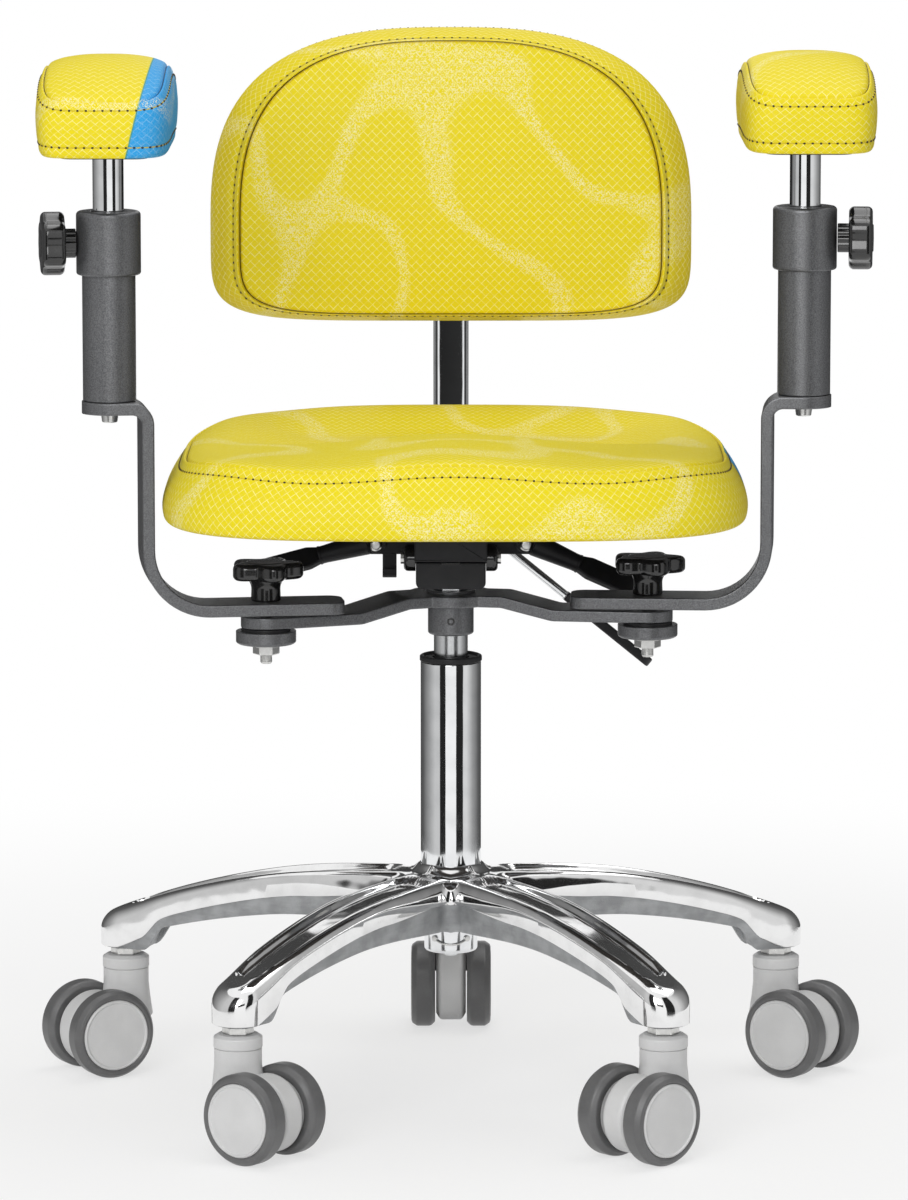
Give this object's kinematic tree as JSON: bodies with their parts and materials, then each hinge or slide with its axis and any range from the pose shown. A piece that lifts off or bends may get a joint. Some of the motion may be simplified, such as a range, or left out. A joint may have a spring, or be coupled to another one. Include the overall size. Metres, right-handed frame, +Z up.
{
  "type": "laboratory chair",
  "caption": "Laboratory chair with contoured seat, D-shaped back, swinging height-adjustable arm rests, gas lift column and polished star base on twin-wheel casters.",
  "frame": {"origin": "on the floor, under the column's axis", "axes": "+Z up, the sitter faces -Y, +X to the right as seen from the front"},
  "size_m": [0.6888, 0.6091, 0.865],
  "materials": {
    "polished_aluminium": "polished",
    "chrome": "polished",
    "brushed_steel": "satin",
    "zinc": "satin",
    "powder_coat": "matte",
    "gloss_black": "gloss",
    "black_plastic": "satin",
    "caster_grey": "satin",
    "tyre_grey": "matte",
    "yellow_vinyl": "satin",
    "plywood": "matte"
  },
  "bodies": {
    "base": {"star_base": "polished_aluminium", "column_tube": "chrome", "column_bush": "black_plastic", "thrust_bearing": "brushed_steel", "caster_1_stem": "zinc", "caster_2_stem": "zinc", "caster_3_stem": "zinc", "caster_4_stem": "zinc", "caster_5_stem": "zinc"},
    "piston": {"piston_rod": "brushed_steel"},
    "carrier": {"gas_cylinder": "brushed_steel", "arm_crossbar": "powder_coat", "mechanism_housing": "black_plastic", "tilt_axle": "zinc", "pivot_stud_left": "zinc", "pivot_stud_right": "zinc", "clamp_disc_left": "powder_coat", "clamp_disc_right": "powder_coat"},
    "release": {"release_pin": "zinc"},
    "seat": {"seat_cradle": "black_plastic", "seat_board": "plywood", "seat_cushion": "yellow_vinyl", "back_hinge_pin": "zinc"},
    "tilt_lever": {"tilt_lever": "black_plastic"},
    "back_lever": {"back_lever": "black_plastic"},
    "lift_lever": {"lift_lever_rod": "chrome", "lift_lever_handle": "black_plastic"},
    "back_bar": {"back_bar": "chrome"},
    "backrest": {"back_bracket": "black_plastic", "back_board": "black_plastic", "back_cushion": "yellow_vinyl"},
    "arm_left": {"arm_bar_left": "powder_coat", "post_tube_left": "powder_coat"},
    "star_knob_left": {"star_knob_left": "gloss_black"},
    "clamp_knob_left": {"clamp_knob_left": "black_plastic"},
    "pad_rod_left": {"height_rod_left": "chrome"},
    "pad_left": {"pad_plate_left": "black_plastic", "arm_pad_left": "yellow_vinyl"},
    "arm_right": {"arm_bar_right": "powder_coat", "post_tube_right": "powder_coat"},
    "star_knob_right": {"star_knob_right": "gloss_black"},
    "clamp_knob_right": {"clamp_knob_right": "black_plastic"},
    "pad_rod_right": {"height_rod_right": "chrome"},
    "pad_right": {"pad_plate_right": "black_plastic", "arm_pad_right": "yellow_vinyl"},
    "caster_1": {"caster_1_fork": "caster_grey"},
    "caster_1_wheel_a": {"caster_1_wheel_a": "tyre_grey"},
    "caster_1_wheel_b": {"caster_1_wheel_b": "tyre_grey"},
    "caster_2": {"caster_2_fork": "caster_grey"},
    "caster_2_wheel_a": {"caster_2_wheel_a": "tyre_grey"},
    "caster_2_wheel_b": {"caster_2_wheel_b": "tyre_grey"},
    "caster_3": {"caster_3_fork": "caster_grey"},
    "caster_3_wheel_a": {"caster_3_wheel_a": "tyre_grey"},
    "caster_3_wheel_b": {"caster_3_wheel_b": "tyre_grey"},
    "caster_4": {"caster_4_fork": "caster_grey"},
    "caster_4_wheel_a": {"caster_4_wheel_a": "tyre_grey"},
    "caster_4_wheel_b": {"caster_4_wheel_b": "tyre_grey"},
    "caster_5": {"caster_5_fork": "caster_grey"},
    "caster_5_wheel_a": {"caster_5_wheel_a": "tyre_grey"},
    "caster_5_wheel_b": {"caster_5_wheel_b": "tyre_grey"}
  },
  "joints": [
    {"name": "seat_swivel", "type": "hinge", "parent": "base", "child": "piston", "pos_m": [0, 0, 0.3], "axis": [0, 0, 1], "continuous": true},
    {"name": "seat_lift", "type": "slide", "parent": "piston", "child": "carrier", "axis": [0, 0, 1], "range_m": [-0.012, 0.16]},
    {"name": "seat_tilt", "type": "hinge", "parent": "carrier", "child": "seat", "pos_m": [0, -0.024, 0.4503], "axis": [-1, 0, 0], "range_deg": [0, 8]},
    {"name": "back_recline", "type": "hinge", "parent": "seat", "child": "back_bar", "pos_m": [0, 0.102, 0.4699], "axis": [-1, 0, 0], "range_deg": [-3, 12]},
    {"name": "back_height", "type": "slide", "parent": "back_bar", "child": "backrest", "axis": [0, 0, 1], "range_m": [-0.03, 0.05]},
    {"name": "tilt_lever_turn", "type": "hinge", "parent": "seat", "child": "tilt_lever", "pos_m": [-0.062, 0.0227, 0.4579], "axis": [0, 1, 0], "range_deg": [-5, 12]},
    {"name": "back_lever_turn", "type": "hinge", "parent": "seat", "child": "back_lever", "pos_m": [0.062, 0.0227, 0.4579], "axis": [0, -1, 0], "range_deg": [-5, 12]},
    {"name": "lift_lever_pull", "type": "hinge", "parent": "seat", "child": "lift_lever", "pos_m": [0.0298, 0.062, 0.4599], "axis": [0.1392, -0.9903, 0], "range_deg": [0, 8], "stiffness_Nm_per_rad": 0.5},
    {"name": "release_press", "type": "slide", "parent": "carrier", "child": "release", "axis": [0, 0, -1], "range_m": [0, 0.003]},
    {"name": "arm_swing_left", "type": "hinge", "parent": "carrier", "child": "arm_left", "pos_m": [-0.15008, -0.06526, 0.416], "axis": [0, 0, 1], "range_deg": [-18, 3]},
    {"name": "star_knob_turn_left", "type": "hinge", "parent": "arm_left", "child": "star_knob_left", "pos_m": [-0.15008, -0.06526, 0.446], "axis": [0, 0, 1], "range_deg": [0, 180]},
    {"name": "pad_height_left", "type": "slide", "parent": "arm_left", "child": "pad_rod_left", "axis": [0, 0, 1], "range_m": [-0.04, 0.06]},
    {"name": "clamp_knob_turn_left", "type": "hinge", "parent": "arm_left", "child": "clamp_knob_left", "pos_m": [-0.27485, -0.08279, 0.71415], "axis": [-0.9903, -0.1392, 0], "range_deg": [0, 180]},
    {"name": "pad_swivel_left", "type": "hinge", "parent": "pad_rod_left", "child": "pad_left", "pos_m": [-0.27485, -0.08279, 0.79], "axis": [0, 0, 1], "range_deg": [-45, 45]},
    {"name": "arm_swing_right", "type": "hinge", "parent": "carrier", "child": "arm_right", "pos_m": [0.16091, -0.02982, 0.416], "axis": [0, 0, 1], "range_deg": [-11, 19]},
    {"name": "star_knob_turn_right", "type": "hinge", "parent": "arm_right", "child": "star_knob_right", "pos_m": [0.16091, -0.02982, 0.446], "axis": [0, 0, 1], "range_deg": [0, 180]},
    {"name": "pad_height_right", "type": "slide", "parent": "arm_right", "child": "pad_rod_right", "axis": [0, 0, 1], "range_m": [-0.04, 0.06]},
    {"name": "clamp_knob_turn_right", "type": "hinge", "parent": "arm_right", "child": "clamp_knob_right", "pos_m": [0.2866, -0.03861, 0.71415], "axis": [0.9976, -0.0698, 0], "range_deg": [0, 180]},
    {"name": "pad_swivel_right", "type": "hinge", "parent": "pad_rod_right", "child": "pad_right", "pos_m": [0.2866, -0.03861, 0.79], "axis": [0, 0, 1], "range_deg": [-45, 45]},
    {"name": "caster_1_swivel", "type": "hinge", "parent": "base", "child": "caster_1", "pos_m": [0, 0.2875, 0.09], "axis": [0, 0, 1], "continuous": true},
    {"name": "caster_1_roll_a", "type": "hinge", "parent": "caster_1", "child": "caster_1_wheel_a", "pos_m": [-0.024, 0.26, 0.03693], "axis": [1, 0, 0], "continuous": true},
    {"name": "caster_1_roll_b", "type": "hinge", "parent": "caster_1", "child": "caster_1_wheel_b", "pos_m": [0.024, 0.26, 0.03693], "axis": [1, 0, 0], "continuous": true},
    {"name": "caster_2_swivel", "type": "hinge", "parent": "base", "child": "caster_2", "pos_m": [-0.27343, 0.08884, 0.09], "axis": [0, 0, 1], "continuous": true},
    {"name": "caster_2_roll_a", "type": "hinge", "parent": "caster_2", "child": "caster_2_wheel_a", "pos_m": [-0.30936, 0.09525, 0.03693], "axis": [0.515, -0.8572, 0], "continuous": true},
    {"name": "caster_2_roll_b", "type": "hinge", "parent": "caster_2", "child": "caster_2_wheel_b", "pos_m": [-0.28464, 0.05411, 0.03693], "axis": [0.515, -0.8572, 0], "continuous": true},
    {"name": "caster_3_swivel", "type": "hinge", "parent": "base", "child": "caster_3", "pos_m": [-0.16899, -0.23259, 0.09], "axis": [0, 0, 1], "continuous": true},
    {"name": "caster_3_roll_a", "type": "hinge", "parent": "caster_3", "child": "caster_3_wheel_a", "pos_m": [-0.16247, -0.26851, 0.03693], "axis": [0.6239, 0.7815, 0], "continuous": true},
    {"name": "caster_3_roll_b", "type": "hinge", "parent": "caster_3", "child": "caster_3_wheel_b", "pos_m": [-0.13252, -0.23099, 0.03693], "axis": [0.6239, 0.7815, 0], "continuous": true},
    {"name": "caster_4_swivel", "type": "hinge", "parent": "base", "child": "caster_4", "pos_m": [0.16899, -0.23259, 0.09], "axis": [0, 0, 1], "continuous": true},
    {"name": "caster_4_roll_a", "type": "hinge", "parent": "caster_4", "child": "caster_4_wheel_a", "pos_m": [0.13253, -0.23443, 0.03693], "axis": [0.6947, -0.7193, 0], "continuous": true},
    {"name": "caster_4_roll_b", "type": "hinge", "parent": "caster_4", "child": "caster_4_wheel_b", "pos_m": [0.16588, -0.26896, 0.03693], "axis": [0.6947, -0.7193, 0], "continuous": true},
    {"name": "caster_5_swivel", "type": "hinge", "parent": "base", "child": "caster_5", "pos_m": [0.27343, 0.08884, 0.09], "axis": [0, 0, 1], "continuous": true},
    {"name": "caster_5_roll_a", "type": "hinge", "parent": "caster_5", "child": "caster_5_wheel_a", "pos_m": [0.28064, 0.05306, 0.03693], "axis": [0.6088, 0.7934, 0], "continuous": true},
    {"name": "caster_5_roll_b", "type": "hinge", "parent": "caster_5", "child": "caster_5_wheel_b", "pos_m": [0.30986, 0.09114, 0.03693], "axis": [0.6088, 0.7934, 0], "continuous": true}
  ],
  "couplings": [
    {"joint": "release_press", "follows": "lift_lever_pull", "m_per_rad": 0.021}
  ]
}
